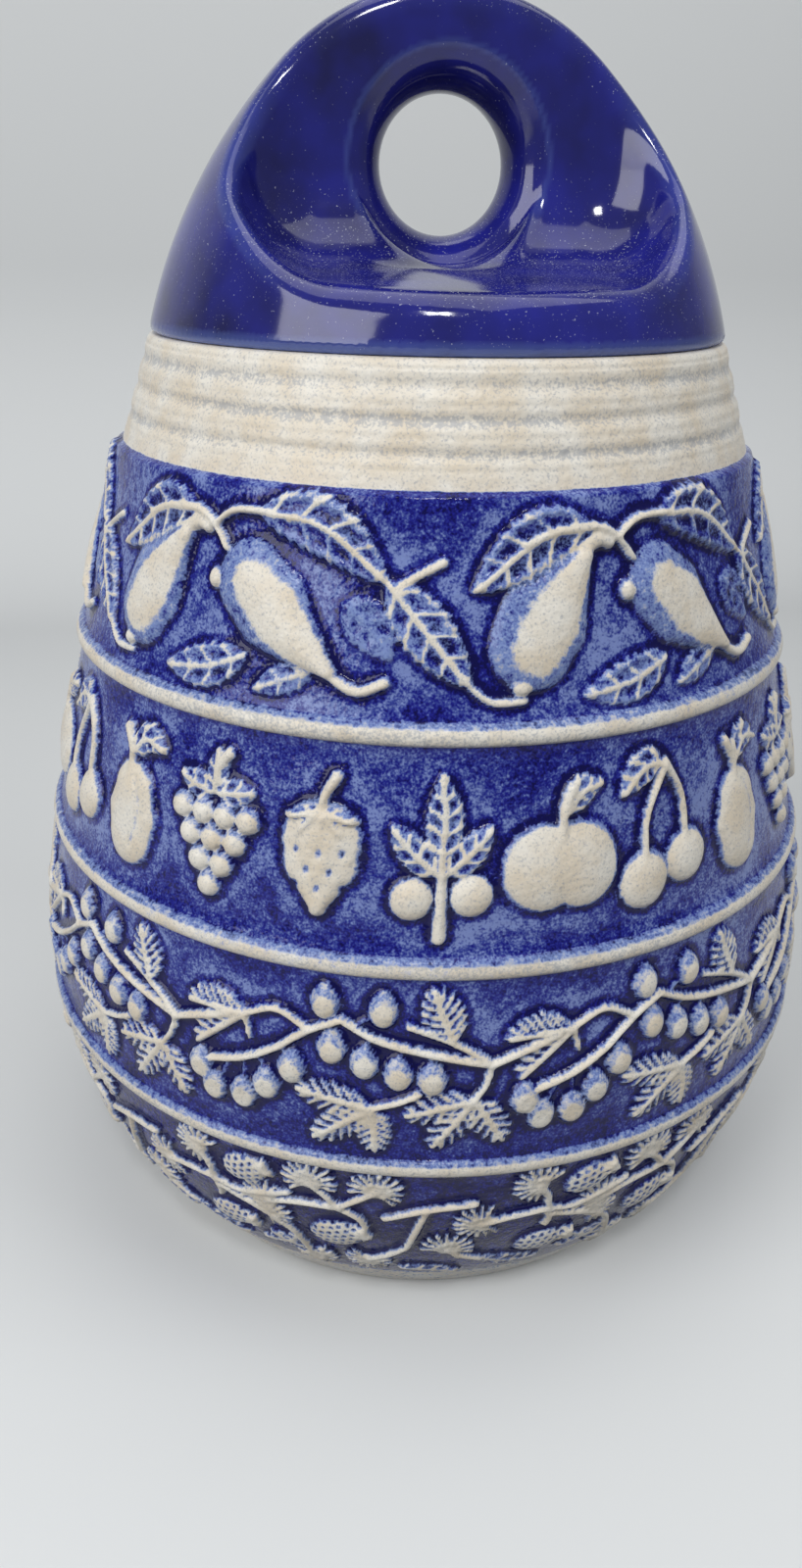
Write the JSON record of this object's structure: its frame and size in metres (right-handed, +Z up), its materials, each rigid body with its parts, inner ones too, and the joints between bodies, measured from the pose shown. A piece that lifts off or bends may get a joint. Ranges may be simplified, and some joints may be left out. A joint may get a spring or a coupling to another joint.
{
  "type": "lidded stoneware fruit crock",
  "caption": "Egg-shaped stoneware crock with relief fruit bands, a plain cream neck and a domed lid whose pierced, scooped top is the handle.",
  "frame": {"origin": "on the jar's axis, at the underside of the foot ring", "axes": "+Z up along the jar's axis; -Y is the front, which the lid's pierced fin faces; +X to the right seen from the front"},
  "size_m": [0.2321, 0.2322, 0.3256],
  "materials": {
    "jar_glaze": "mottled blue salt glaze over cream stoneware relief",
    "lid_glaze": "deep cobalt gloss glaze"
  },
  "bodies": {
    "jar": {"jar": "jar_glaze"},
    "lid": {"lid": "lid_glaze"}
  },
  "joints": [
    {"name": "lid_lift", "type": "slide", "parent": "jar", "child": "lid", "axis": [0, 0, 1], "range_m": [0, 0.1]}
  ]
}
